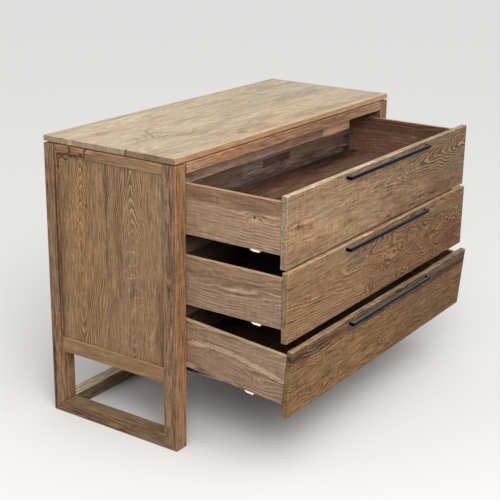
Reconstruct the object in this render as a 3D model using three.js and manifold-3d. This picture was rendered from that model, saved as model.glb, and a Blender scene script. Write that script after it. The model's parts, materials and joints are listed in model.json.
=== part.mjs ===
// Three-drawer chest on an open foot frame, drawn with its drawers pulled out.
// Millimetres. X runs along the chest, Y from its front to its back, Z up from the floor.
// Solid wood frame with mortised rails, grooved panels, and drawers on hidden steel runners.

import * as THREE from 'three';
import { mergeVertices } from 'three/addons/utils/BufferGeometryUtils.js';
import Module from 'manifold-3d';

const wasm = await Module();
wasm.setup();

// Overall sizes of the chest
const chestWidth = 1200;
const chestDepth = 480;
const chestHeight = 870;

// Clearances: a glued or seated joint, and how far a cutter runs past a face
const seat = 0.3;
const overrun = 1;

// Top
const topEdgeThickness = 16.5;
const shadowGap = 5.5;
const shadowSetback = 10;

// Posts and rails
const postSide = 46;
const topRailHeight = 28;
const topRailThickness = 24;
const midRailHeight = 46;
const midRailBottom = 206;
const footRailHeight = 42;
const tenonLength = 22;
const tenonThickness = 10;
const tenonShoulder = 8;

// Side panels and back, held in grooves
const sidePanelThickness = 12;
const sidePanelSetback = 6;
const backPanelThickness = 8;
const backPanelSetback = 8;
const tongueDepth = 6;

// Drawer fronts
const drawerCount = 3;
const frontThickness = 19;
const frontSideGap = 3;
const frontTopGap = 10;
const frontSpacing = 7;
const frontOverhang = 10;

// Drawer boxes
const boxSetback = 1;
const boxBelowFrontTop = 17;
const boxAboveFrontBottom = 39;
const boxSideThickness = 14;
const boxRearGap = 15;
const boxBottomThickness = 7;
const boxBottomLift = 12;
const boxGrooveDepth = 5;

// Handles
const handleLength = 500;
const handleHeight = 10;
const handleBarDepth = 8;
const handleProjection = 18;
const handleLegWidth = 8;
const handleBelowFrontTop = 12;
const handleCornerRadius = 3;

// Runners: a fixed channel on a bearer, and a rail that slides in it and carries the box's bottom,
// both just inside the box side and mostly hidden behind its lower edge
const runnerStart = 34;
const runnerBackGap = 1;
const channelWidth = 29;
const channelHeight = 7;
const channelWall = 1.5;
const channelLip = 3;
const channelSideGap = 0.7;
const railFlangeWidth = 22;
const railFlangeThickness = 2;
const railWebWidth = 12;
const bearerHeight = 18;
const bearerWidth = 48;
const bearerRearLap = 20;

// Catches under the box sides
const catchLength = 28;
const catchHeight = 6;
const catchWidth = 13;
const catchSetback = 0.5;
const catchRailGap = 2;

// From the top drawer down: how far each one stands open and how far behind its face its catches
// start, as shares of its box's length, and how many degrees it leans forward over its rails
const openingShares = [0.756, 0.774, 0.798];
const catchStartShares = [0.2, 0.2, 0.267];
const leanDegrees = [0, 0, 4.6];

// Worked out from the sizes above
const halfWidth = chestWidth / 2;
const innerHalfWidth = halfWidth - postSide;
const rearPostFront = chestDepth - postSide;
const frameTop = chestHeight - topEdgeThickness - shadowGap;
const topRailBottom = frameTop - topRailHeight;
const midRailTop = midRailBottom + midRailHeight;
const frontHalfWidth = innerHalfWidth - frontSideGap;
const frontsTop = topRailBottom - frontTopGap;
const frontsHeight = frontsTop - midRailBottom + frontOverhang;
const frontHeight = (frontsHeight - (drawerCount - 1) * frontSpacing) / drawerCount;
const sidePanelOuter = halfWidth - sidePanelSetback;
const sidePanelInner = sidePanelOuter - sidePanelThickness;
const backPanelBack = chestDepth - backPanelSetback;
const backPanelFront = backPanelBack - backPanelThickness;
const boxHalfWidth = frontHalfWidth - boxSetback;
const boxInnerHalfWidth = boxHalfWidth - boxSideThickness;
const boxSideHeight = frontHeight - boxBelowFrontTop - boxAboveFrontBottom;
const boxBottomUnderFrontTop = boxBelowFrontTop + boxSideHeight;
const boxEnd = backPanelFront - boxRearGap;
const boxLength = boxEnd - frontThickness;
const boxBackFront = boxEnd - boxSideThickness;
const runnerCentre = boxInnerHalfWidth - channelSideGap - channelWidth / 2;
const runnerEnd = boxBackFront - runnerBackGap;

// The chest's origin is the middle of the rear foot rail's underside, so it is set down from there.
const chest = new THREE.Group();
chest.position.y = postSide / 2 - chestDepth;

const wood = (color, roughness = 0.6) => new THREE.MeshStandardMaterial({ color, roughness, metalness: 0 });
const materials = {
  top: wood(0xc4a37e, 0.5),
  frame: wood(0x9c7351),
  foot: wood(0x8f6b4b),
  panel: wood(0x8c6a4a),
  back: wood(0x7a5c42, 0.75),
  bearer: wood(0x8a6a4c, 0.75),
  front: wood(0xa3805c, 0.55),
  boxSide: wood(0xa08468),
  boxInside: wood(0x6d5140, 0.65),
  handle: new THREE.MeshStandardMaterial({ color: 0x1d2023, roughness: 0.45, metalness: 0.6 }),
  steel: new THREE.MeshStandardMaterial({ color: 0xa9adb0, roughness: 0.35, metalness: 0.9 }),
  catch: new THREE.MeshStandardMaterial({ color: 0xe6e3da, roughness: 0.5, metalness: 0 }),
};

// A box between two opposite corners
function block([x0, y0, z0], [x1, y1, z1]) {
  const geometry = new THREE.BoxGeometry(Math.abs(x1 - x0), Math.abs(y1 - y0), Math.abs(z1 - z0));
  return geometry.translate((x0 + x1) / 2, (y0 + y1) / 2, (z0 + z1) / 2);
}

// The same box grown on every side by a clearance, as the cutter for what fits there
function grown([x0, y0, z0], [x1, y1, z1], clearance) {
  const low = [Math.min(x0, x1) - clearance, Math.min(y0, y1) - clearance, Math.min(z0, z1) - clearance];
  const high = [Math.max(x0, x1) + clearance, Math.max(y0, y1) + clearance, Math.max(z0, z1) + clearance];
  return block(low, high);
}

// An outline in the Y and Z plane, run along X
function alongX(outline, x0, x1) {
  const shape = new THREE.Shape(outline.map(([y, z]) => new THREE.Vector2(y, z)));
  const geometry = new THREE.ExtrudeGeometry(shape, { depth: Math.abs(x1 - x0), bevelEnabled: false });
  geometry.rotateX(Math.PI / 2);
  geometry.rotateZ(Math.PI / 2);
  return geometry.translate(Math.min(x0, x1), 0, 0);
}

// An outline in the X and Z plane, run along Y
function alongY(outline, y0, y1) {
  const shape = new THREE.Shape(outline.map(([x, z]) => new THREE.Vector2(x, z)));
  const geometry = new THREE.ExtrudeGeometry(shape, { depth: y1 - y0, bevelEnabled: false });
  geometry.rotateX(Math.PI / 2);
  return geometry.translate(0, y1, 0);
}

function toSolid(geometry) {
  const bare = geometry.clone();
  bare.deleteAttribute('normal');
  bare.deleteAttribute('uv');
  const merged = mergeVertices(bare);
  const vertProperties = new Float32Array(merged.attributes.position.array);
  const triVerts = new Uint32Array(merged.index.array);
  return new wasm.Manifold(new wasm.Mesh({ numProp: 3, vertProperties, triVerts }));
}

function toGeometry(solid) {
  const mesh = solid.getMesh();
  const geometry = new THREE.BufferGeometry();
  geometry.setAttribute('position', new THREE.BufferAttribute(mesh.vertProperties, mesh.numProp));
  geometry.setIndex(new THREE.BufferAttribute(mesh.triVerts, 1));
  geometry.computeVertexNormals();
  return geometry;
}

function joined(geometry, ...others) {
  return toGeometry(others.reduce((solid, other) => solid.add(toSolid(other)), toSolid(geometry)));
}

function cut(geometry, ...cutters) {
  return toGeometry(cutters.reduce((solid, cutter) => solid.subtract(toSolid(cutter)), toSolid(geometry)));
}

function piece(parent, name, geometry, material) {
  const mesh = new THREE.Mesh(geometry, material);
  mesh.name = name;
  parent.add(mesh);
  return mesh;
}

// The two sides of the chest: the left one lies towards minus X
const sides = [
  { name: 'left', sign: -1 },
  { name: 'right', sign: 1 },
];

// Tenons: each is a pair of corners, so that the rail and the post's mortise use the same numbers.
// A side rail enters a post along Y, a front or rear rail enters it along X.
function sideTenon(sign, railThickness, bottom, top, atRear) {
  const centre = sign * (halfWidth - railThickness / 2);
  const shoulder = atRear ? rearPostFront : postSide;
  const tip = atRear ? shoulder + tenonLength : shoulder - tenonLength;
  return [
    [centre - tenonThickness / 2, shoulder, bottom + tenonShoulder],
    [centre + tenonThickness / 2, tip, top - tenonShoulder],
  ];
}

function crossTenon(sign, centreY, bottom, top) {
  return [
    [sign * innerHalfWidth, centreY - tenonThickness / 2, bottom + tenonShoulder],
    [sign * (innerHalfWidth + tenonLength), centreY + tenonThickness / 2, top - tenonShoulder],
  ];
}

// A tenon reaches back a little into its rail, so that the two are one solid.
function tenonBlock([low, high], axis, towards) {
  const root = [...low];
  root[axis] -= towards * overrun;
  return block(root, high);
}

const frontRailCentre = topRailThickness / 2;
const rearRailCentre = chestDepth - topRailThickness / 2;

function sideTenons(sign, atRear) {
  return {
    top: sideTenon(sign, topRailThickness, topRailBottom, frameTop, atRear),
    mid: sideTenon(sign, postSide, midRailBottom, midRailTop, atRear),
  };
}

// Side panel and back panel corners, tongues included
const sidePanelLow = (sign) => [sign * sidePanelInner, postSide - tongueDepth, midRailTop - tongueDepth];
const sidePanelHigh = (sign) => [
  sign * sidePanelOuter,
  rearPostFront + tongueDepth,
  topRailBottom + tongueDepth,
];
const backPanelLow = [-innerHalfWidth - tongueDepth, backPanelFront, midRailTop - tongueDepth];
const backPanelHigh = [innerHalfWidth + tongueDepth, backPanelBack, topRailBottom + tongueDepth];

function makeTop() {
  const plank = block([-halfWidth, 0, chestHeight - topEdgeThickness], [halfWidth, chestDepth, chestHeight]);
  const seatBlock = block(
    [-halfWidth + shadowSetback, shadowSetback, frameTop + seat],
    [halfWidth - shadowSetback, chestDepth - shadowSetback, chestHeight - topEdgeThickness + overrun],
  );
  piece(chest, 'top_panel', joined(plank, seatBlock), materials.top);
}

// The posts meet the foot rails on a mitre that runs from the floor's outer corner to the inner one.
const mitreSeat = (seat * Math.hypot(postSide, footRailHeight)) / postSide;

function makePost(name, sign, atRear) {
  const outer = atRear ? chestDepth : 0;
  const inner = atRear ? rearPostFront : postSide;
  const outline = [
    [outer, mitreSeat],
    [inner, footRailHeight + mitreSeat],
    [inner, frameTop],
    [outer, frameTop],
  ];
  const body = alongX(outline, sign * halfWidth, sign * innerHalfWidth);
  const { top, mid } = sideTenons(sign, atRear);
  const cutters = [
    grown(...top, seat),
    grown(...mid, seat),
    grown(sidePanelLow(sign), sidePanelHigh(sign), seat),
  ];
  if (atRear) {
    cutters.push(grown(...crossTenon(sign, rearRailCentre, topRailBottom, frameTop), seat));
    cutters.push(grown(...crossTenon(sign, rearRailCentre, midRailBottom, midRailTop), seat));
    cutters.push(grown(backPanelLow, backPanelHigh, seat));
  } else {
    cutters.push(grown(...crossTenon(sign, frontRailCentre, topRailBottom, frameTop), seat));
  }
  piece(chest, name, cut(body, ...cutters), materials.frame);
}

function makeSideRail(name, sign, thickness, bottom, top, tenonKey) {
  const body = block(
    [sign * halfWidth, postSide + seat, bottom],
    [sign * (halfWidth - thickness), rearPostFront - seat, top],
  );
  const front = tenonBlock(sideTenons(sign, false)[tenonKey], 1, -1);
  const rear = tenonBlock(sideTenons(sign, true)[tenonKey], 1, 1);
  const groove = grown(sidePanelLow(sign), sidePanelHigh(sign), seat);
  piece(chest, name, cut(joined(body, front, rear), groove), materials.frame);
}

function makeFootRail(name, sign) {
  const outline = [
    [0, 0],
    [chestDepth, 0],
    [rearPostFront, footRailHeight],
    [postSide, footRailHeight],
  ];
  piece(chest, name, alongX(outline, sign * halfWidth, sign * innerHalfWidth), materials.foot);
}

function makeCrossRail(name, centreY, bottom, top) {
  const body = block(
    [-innerHalfWidth + seat, centreY - topRailThickness / 2, bottom],
    [innerHalfWidth - seat, centreY + topRailThickness / 2, top],
  );
  const tenons = sides.map(({ sign }) => tenonBlock(crossTenon(sign, centreY, bottom, top), 0, sign));
  return { name, geometry: joined(body, ...tenons) };
}

function makeFrame() {
  for (const { name, sign } of sides) {
    makePost(`post_front_${name}`, sign, false);
    makePost(`post_rear_${name}`, sign, true);
    makeSideRail(`side_top_rail_${name}`, sign, topRailThickness, topRailBottom, frameTop, 'top');
    makeSideRail(`side_mid_rail_${name}`, sign, postSide, midRailBottom, midRailTop, 'mid');
    makeFootRail(`foot_rail_${name}`, sign);
    piece(chest, `side_panel_${name}`, block(sidePanelLow(sign), sidePanelHigh(sign)), materials.panel);
  }
  const frontRail = makeCrossRail('front_top_rail', frontRailCentre, topRailBottom, frameTop);
  piece(chest, frontRail.name, frontRail.geometry, materials.frame);
  const rearRails = [
    makeCrossRail('rear_top_rail', rearRailCentre, topRailBottom, frameTop),
    makeCrossRail('rear_bottom_rail', rearRailCentre, midRailBottom, midRailTop),
  ];
  for (const { name, geometry } of rearRails) {
    piece(chest, name, cut(geometry, grown(backPanelLow, backPanelHigh, seat)), materials.frame);
  }
  const rearFoot = block(
    [-innerHalfWidth + seat, rearPostFront, 0],
    [innerHalfWidth - seat, chestDepth, footRailHeight],
  );
  piece(chest, 'rear_foot_rail', rearFoot, materials.foot);
  piece(chest, 'back_panel', block(backPanelLow, backPanelHigh), materials.back);
}

// Height of the drawer box's bottom edge over the floor when the drawer is shut
function boxBottomZ(index) {
  return frontsTop - index * (frontHeight + frontSpacing) - boxBottomUnderFrontTop;
}

function makeRunnerSeat(index, side) {
  const boxBottom = boxBottomZ(index);
  const { name, sign } = side;
  const channelBottom = boxBottom - channelHeight;
  const bearer = block(
    [sign * (innerHalfWidth - seat), runnerStart, channelBottom - seat - bearerHeight],
    [sign * (innerHalfWidth - seat - bearerWidth), rearPostFront + bearerRearLap, channelBottom - seat],
  );
  piece(chest, `runner_bearer_${index + 1}_${name}`, bearer, materials.bearer);

  const half = channelWidth / 2;
  const wallIn = half - channelWall;
  const lipIn = wallIn - channelLip;
  const lipUnder = channelHeight - channelWall;
  const outline = [
    [-half, 0],
    [half, 0],
    [half, channelHeight],
    [lipIn, channelHeight],
    [lipIn, lipUnder],
    [wallIn, lipUnder],
    [wallIn, channelWall],
    [-wallIn, channelWall],
    [-wallIn, lipUnder],
    [-lipIn, lipUnder],
    [-lipIn, channelHeight],
    [-half, channelHeight],
  ];
  const channel = alongY(outline, runnerStart, runnerEnd);
  const mesh = piece(chest, `cabinet_rail_${index + 1}_${name}`, channel, materials.steel);
  mesh.position.set(sign * runnerCentre, 0, channelBottom);
}

// Drawer pieces are drawn shut: Y is 0 at the front's face, Z is 0 at the box's bottom edge.
function makeDrawerRail(parent, name, side, start) {
  const half = railFlangeWidth / 2;
  const web = railWebWidth / 2;
  const flangeBottom = channelWall + seat - channelHeight;
  const flangeTop = flangeBottom + railFlangeThickness;
  const webTop = boxBottomLift - seat;
  const outline = [
    [-half, flangeBottom],
    [half, flangeBottom],
    [half, flangeTop],
    [web, flangeTop],
    [web, webTop],
    [-web, webTop],
    [-web, flangeTop],
    [-half, flangeTop],
  ];
  const rail = alongY(outline, start, runnerEnd);
  const mesh = piece(parent, name, rail, materials.steel);
  mesh.position.x = side.sign * runnerCentre;
}

function makeHandle(parent, name, frontTop) {
  const half = handleLength / 2;
  const inner = half - handleLegWidth;
  const barBack = -handleProjection + handleBarDepth;
  const round = handleCornerRadius;
  const shape = new THREE.Shape();
  shape.moveTo(-half, -seat);
  shape.lineTo(-half, -handleProjection + round);
  shape.absarc(-half + round, -handleProjection + round, round, Math.PI, Math.PI * 1.5, false);
  shape.lineTo(half - round, -handleProjection);
  shape.absarc(half - round, -handleProjection + round, round, -Math.PI / 2, 0, false);
  shape.lineTo(half, -seat);
  shape.lineTo(inner, -seat);
  shape.lineTo(inner, barBack);
  shape.lineTo(-inner, barBack);
  shape.lineTo(-inner, -seat);
  const settings = { depth: handleHeight, bevelEnabled: false, curveSegments: 4 };
  const bar = new THREE.ExtrudeGeometry(shape, settings);
  bar.translate(0, 0, frontTop - handleBelowFrontTop - handleHeight / 2);
  piece(parent, name, bar, materials.handle);
}

function makeBox(parent, prefix, catchStart) {
  const frontTop = boxBottomUnderFrontTop;
  const boxStart = frontThickness + seat;
  const bottomLow = [
    -boxInnerHalfWidth - boxGrooveDepth + seat,
    frontThickness - boxGrooveDepth + seat,
    boxBottomLift,
  ];
  const bottomHigh = [
    boxInnerHalfWidth + boxGrooveDepth - seat,
    boxBackFront + boxGrooveDepth - seat,
    boxBottomLift + boxBottomThickness,
  ];
  const groove = grown(bottomLow, bottomHigh, seat);

  const front = block(
    [-frontHalfWidth, 0, frontTop - frontHeight],
    [frontHalfWidth, frontThickness, frontTop],
  );
  piece(parent, `${prefix}_front`, cut(front, groove), materials.front);
  for (const { name, sign } of sides) {
    const board = block(
      [sign * boxHalfWidth, boxStart, 0],
      [sign * boxInnerHalfWidth, boxEnd, boxSideHeight],
    );
    piece(parent, `${prefix}_side_${name}`, cut(board, groove), materials.boxSide);
    const catchOuter = boxHalfWidth - catchSetback;
    const catchBlock = block(
      [sign * catchOuter, catchStart, -catchHeight],
      [sign * (catchOuter - catchWidth), catchStart + catchLength, -seat],
    );
    piece(parent, `${prefix}_catch_${name}`, catchBlock, materials.catch);
  }
  const back = block(
    [-boxInnerHalfWidth + seat, boxBackFront, 0],
    [boxInnerHalfWidth - seat, boxEnd, boxSideHeight],
  );
  piece(parent, `${prefix}_back`, cut(back, groove), materials.boxInside);
  piece(parent, `${prefix}_bottom`, block(bottomLow, bottomHigh), materials.boxInside);
  makeHandle(parent, `${prefix}_handle`, frontTop);
}

// A drawer slides out on its rails. Its box can lean forward over the rails' front ends.
function makeDrawer(index) {
  const prefix = `drawer_${index + 1}`;
  const opening = openingShares[index] * boxLength;
  const catchStart = catchStartShares[index] * boxLength;
  const railStart = catchStart + catchLength + catchRailGap;

  const slide = new THREE.Group();
  slide.position.set(0, -opening, boxBottomZ(index));
  chest.add(slide);
  for (const side of sides) makeDrawerRail(slide, `${prefix}_rail_${side.name}`, side, railStart);

  const lean = new THREE.Group();
  lean.position.set(0, railStart, boxBottomLift);
  lean.rotation.x = THREE.MathUtils.degToRad(leanDegrees[index]);
  slide.add(lean);
  const box = new THREE.Group();
  box.position.set(0, -railStart, -boxBottomLift);
  lean.add(box);
  makeBox(box, prefix, catchStart);
}

makeTop();
makeFrame();
for (let index = 0; index < drawerCount; index += 1) {
  for (const side of sides) makeRunnerSeat(index, side);
  makeDrawer(index);
}

export default chest;
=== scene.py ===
import json
import math
from functools import reduce

import bmesh
import bpy
from bpy.props import FloatProperty, FloatVectorProperty, PointerProperty
from mathutils import Matrix, Vector, noise


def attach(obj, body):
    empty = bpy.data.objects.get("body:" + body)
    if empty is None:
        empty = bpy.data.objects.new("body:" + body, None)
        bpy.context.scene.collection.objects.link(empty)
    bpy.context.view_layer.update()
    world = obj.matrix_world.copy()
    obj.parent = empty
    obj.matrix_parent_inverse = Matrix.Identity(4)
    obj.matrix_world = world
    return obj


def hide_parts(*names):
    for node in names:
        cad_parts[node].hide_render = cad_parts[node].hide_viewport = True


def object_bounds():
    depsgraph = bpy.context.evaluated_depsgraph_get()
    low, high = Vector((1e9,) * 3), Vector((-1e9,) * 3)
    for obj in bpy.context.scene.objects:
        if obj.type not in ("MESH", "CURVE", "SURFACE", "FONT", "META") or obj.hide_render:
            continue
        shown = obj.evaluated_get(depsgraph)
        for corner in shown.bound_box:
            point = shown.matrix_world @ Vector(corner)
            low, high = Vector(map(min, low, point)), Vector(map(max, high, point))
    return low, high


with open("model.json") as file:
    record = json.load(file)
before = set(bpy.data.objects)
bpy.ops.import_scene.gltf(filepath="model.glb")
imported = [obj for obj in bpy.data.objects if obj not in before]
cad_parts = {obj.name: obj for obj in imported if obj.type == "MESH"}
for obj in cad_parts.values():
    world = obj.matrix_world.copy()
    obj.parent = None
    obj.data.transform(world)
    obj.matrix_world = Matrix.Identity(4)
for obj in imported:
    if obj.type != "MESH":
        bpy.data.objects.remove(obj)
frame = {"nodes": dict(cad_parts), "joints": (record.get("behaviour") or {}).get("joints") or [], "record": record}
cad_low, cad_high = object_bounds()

bl_info = {
    "name": "Reclaimed teak chest",
    "version": (1, 0, 0),
    "blender": (4, 5, 0),
    "location": "View3D > Sidebar > Chest",
    "description": "Dresses the chest of drawers in worn teak, black steel and plated runners",
    "category": "Object",
}

SIDES = ("left", "right")
DRAWERS = (1, 2, 3)
AXES = "xyz"
NODE_BODY = {n: body for body, ns in frame["record"]["behaviour"]["bodies"].items() for n in ns}
LEAN = next(j for j in frame["joints"] if j["name"] == "drawer_3_lean")


def length_value(name, description, default):
    return FloatProperty(name=name, description=description, default=default, unit="LENGTH", precision=5)


def angle_value(name, description, degrees):
    return FloatProperty(name=name, description=description, default=math.radians(degrees), unit="ROTATION")


def colour_value(name, description, default):
    """A colour given in the 0 to 255 numbers of a paint chart."""
    linear = [to_linear(c / 255) for c in default]
    return FloatVectorProperty(name=name, description=description, default=linear, subtype="COLOR", size=3)


def to_linear(c):
    """The light that a colour number from 0 to 1 stands for on a screen."""
    return c / 12.92 if c <= 0.04045 else ((c + 0.055) / 1.055) ** 2.4


class ChestSizes(bpy.types.PropertyGroup):
    """Sizes of the finish: how far edges are eased, worn and marked."""

    arris: length_value("Arris", "Easing of the edges of posts, rails and top", 0.0012)
    front_arris: length_value("Front arris", "Easing of the edges of the drawer fronts", 0.002)
    box_arris: length_value("Box arris", "Easing of the edges of the drawer boxes", 0.0009)
    steel_arris: length_value("Steel arris", "Easing of the edges of steel parts", 0.0003)
    handle_arris: length_value("Handle arris", "Easing of the edges of the handles", 0.0009)
    wear: length_value("Wear", "Deepest nick in a worn wooden edge", 0.0007)
    front_wear: length_value("Front wear", "Deepest nick in the edge of a drawer front", 0.001)
    wear_step: length_value("Wear step", "Distance between the places where an edge is worn", 0.02)
    screw_head: length_value("Screw head", "Diameter of a handle screw's head", 0.008)


WOODS = {
    "top": ("top", (214, 198, 168), (158, 134, 107)),
    "post": ("posts", (155, 115, 83), (57, 34, 20)),
    "rail": ("side rails", (161, 126, 96), (68, 41, 26)),
    "cross": ("front and back rails", (186, 146, 118), (111, 75, 56)),
    "foot": ("foot rails", (136, 110, 81), (48, 32, 22)),
    "panel": ("side panels", (164, 127, 94), (70, 45, 27)),
    "back": ("back", (160, 126, 96), (92, 64, 46)),
    "front_1": ("top drawer's front", (186, 151, 118), (53, 31, 18)),
    "front_2": ("middle drawer's front", (172, 129, 97), (50, 27, 13)),
    "front_3": ("bottom drawer's front", (160, 118, 78), (37, 18, 8)),
    "side": ("drawer sides", (168, 136, 111), (81, 56, 41)),
    "inside": ("strips inside the drawers", (181, 151, 131), (54, 36, 29)),
    "bottom": ("drawer bottoms", (136, 100, 76), (46, 28, 20)),
}
TONES = ("light", "dark")


class ChestColours(bpy.types.PropertyGroup):
    """Colours of the finishes. Each wood adds the tones of its light and dark grain."""

    grey: colour_value("Grey", "Weathered grey patches", (132, 116, 94))
    knot: colour_value("Knot", "Heart of a knot", (72, 50, 36))
    handle: colour_value("Handle", "Black coat of the handles", (6, 8, 12))
    # Painted highlight on the handles' upper faces, where light from above catches them
    handle_top: colour_value("Handle, top", "Dust and rubbing on the handles' upper faces", (86, 90, 98))
    steel: colour_value("Steel", "Zinc plated steel", (178, 182, 184))
    plastic: colour_value("Plastic", "White catches", (232, 230, 222))
    floor: colour_value("Floor", "Pale floor", (222, 221, 218))
    sky: colour_value("Sky", "Soft light all round", (240, 242, 246))


for wood, (place, *pair) in WOODS.items():
    for tone, colour in zip(TONES, pair):
        label, description = f"{place.capitalize()}, {tone}", f"{tone.capitalize()} grain of the {place}"
        ChestColours.__annotations__[f"{wood}_{tone}"] = colour_value(label, description, colour)


class ChestStage(bpy.types.PropertyGroup):
    """Camera and lights."""

    camera_place: FloatVectorProperty(
        name="Camera place", description="Where the camera stands", subtype="XYZ",
        unit="LENGTH", default=(-2.8954, -2.2575, 1.5917),
    )
    azimuth: angle_value("Azimuth", "Turn of the camera round the chest", -55.87)
    elevation: angle_value("Elevation", "Height of the camera over the horizon", 18.47)
    roll: angle_value("Roll", "Tilt of the camera", 0.86)
    focal_share: FloatProperty(
        name="Focal share", description="Focal length as a share of the picture's width",
        default=1128.2 / 500,
    )
    key_power: FloatProperty(
        name="Key power", description="Soft light beside the camera, in watts", default=110,
    )
    top_strength: FloatProperty(name="Top strength", description="Wide soft light from above", default=1.8)
    sky_strength: FloatProperty(
        name="Sky strength", description="Strength of the light all round", default=0.6,
    )


# Marks drawn along and across the grain, in metres

STAR = (
    ((-0.384, 0.276), (-0.405, 0.25), (-0.415, 0.23), (-0.436, 0.203), (-0.417, 0.194), (-0.385, 0.193)),
    ((-0.505, 0.211), (-0.478, 0.228), (-0.456, 0.234), (-0.44, 0.229)),
    ((-0.4, 0.238), (-0.375, 0.234), (-0.352, 0.215)),
    ((-0.376, 0.165), (-0.345, 0.157), (-0.318, 0.159), (-0.29, 0.174), (-0.27, 0.188), (-0.252, 0.186)),
    ((-0.384, 0.276), (-0.365, 0.29), (-0.335, 0.298)),
)
RAIL_CRACKS = (
    (
        (0.197, 0.028), (0.193, 0.011), (0.195, 0.002), (0.172, 0.003), (0.147, 0.007), (0.139, 0.015),
        (0.142, 0.026),
    ),
    ((0.139, 0.015), (0.136, 0.013), (0.139, 0.002), (0.147, 0.001)),
    (
        (0.139, 0.002), (0.13, 0.004), (0.124, 0.007), (0.117, 0.003), (0.113, 0.003), (0.106, 0.014),
        (0.097, 0.014), (0.1, 0.004), (0.084, 0.006), (0.086, 0.016), (0.081, 0.028),
    ),
)
POST_CRACKS = (
    (
        (0.412, 0.002), (0.392, 0.0065), (0.367, 0.0065), (0.345, 0.003), (0.3, 0.005), (0.22, 0.008),
        (0.15, 0.004), (0.05, 0.007), (-0.06, 0.004), (-0.16, 0.006),
    ),
    ((-0.22, 0.038), (-0.27, 0.036), (-0.31, 0.041), (-0.36, 0.037), (-0.4, 0.04)),
)
PANEL_CRACK = ((0.24, 0.393), (0.262, 0.391), (0.274, 0.384), (0.279, 0.376), (0.272, 0.367), (0.273, 0.356))
PANEL_FIGURE = (
    ((0.156, 0.144), (0.184, 0.131), (0.194, 0.121), (0.178, 0.109), (0.146, 0.095)),
    ((0.126, 0.144), (0.156, 0.131), (0.168, 0.121), (0.148, 0.107), (0.116, 0.094)),
    ((0.094, 0.142), (0.121, 0.131), (0.138, 0.119), (0.116, 0.105), (0.086, 0.092)),
    ((0.066, 0.14), (0.091, 0.13), (0.106, 0.119), (0.091, 0.107), (0.071, 0.097)),
    ((0.016, 0.147), (0.036, 0.137), (0.041, 0.117), (0.034, 0.097), (0.044, 0.09)),
    ((-0.024, 0.149), (-0.004, 0.132), (0.001, 0.112), (0.016, 0.092)),
    ((-0.044, 0.132), (-0.034, 0.112), (-0.024, 0.087)),
    ((-0.079, 0.137), (-0.064, 0.112), (-0.069, 0.089)),
    ((-0.104, 0.125), (-0.094, 0.107), (-0.089, 0.087)),
    ((-0.254, 0.147), (-0.194, 0.139), (-0.144, 0.125), (-0.119, 0.097), (-0.109, 0.082)),
    ((-0.214, 0.102), (-0.164, 0.097), (-0.134, 0.087)),
    ((-0.149, 0.087), (-0.194, 0.075), (-0.212, 0.067), (-0.199, 0.052), (-0.164, 0.037), (-0.124, 0.025)),
    ((-0.224, 0.082), (-0.244, 0.057), (-0.214, 0.027), (-0.194, 0.015)),
    ((0.176, 0.155), (0.156, 0.147), (0.131, 0.153), (0.106, 0.146), (0.071, 0.157), (0.044, 0.145)),
    ((0.134, 0.349), (0.156, 0.335), (0.134, 0.323)),
    ((0.099, 0.349), (0.121, 0.335), (0.096, 0.321)),
    ((0.061, 0.347), (0.081, 0.333), (0.058, 0.32)),
    ((0.021, 0.346), (0.041, 0.332), (0.018, 0.32)),
    ((-0.016, 0.345), (0.003, 0.333), (-0.018, 0.322)),
    ((-0.056, 0.343), (-0.037, 0.333), (-0.058, 0.324)),
)
SAP_STREAK = (
    (0.104, 0.076), (0.085, 0.083), (0.05, 0.09), (0.01, 0.0925), (-0.03, 0.0915), (-0.065, 0.088),
    (-0.11, 0.082), (-0.16, 0.0765), (-0.215, 0.069),
)


# Node trees


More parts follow.
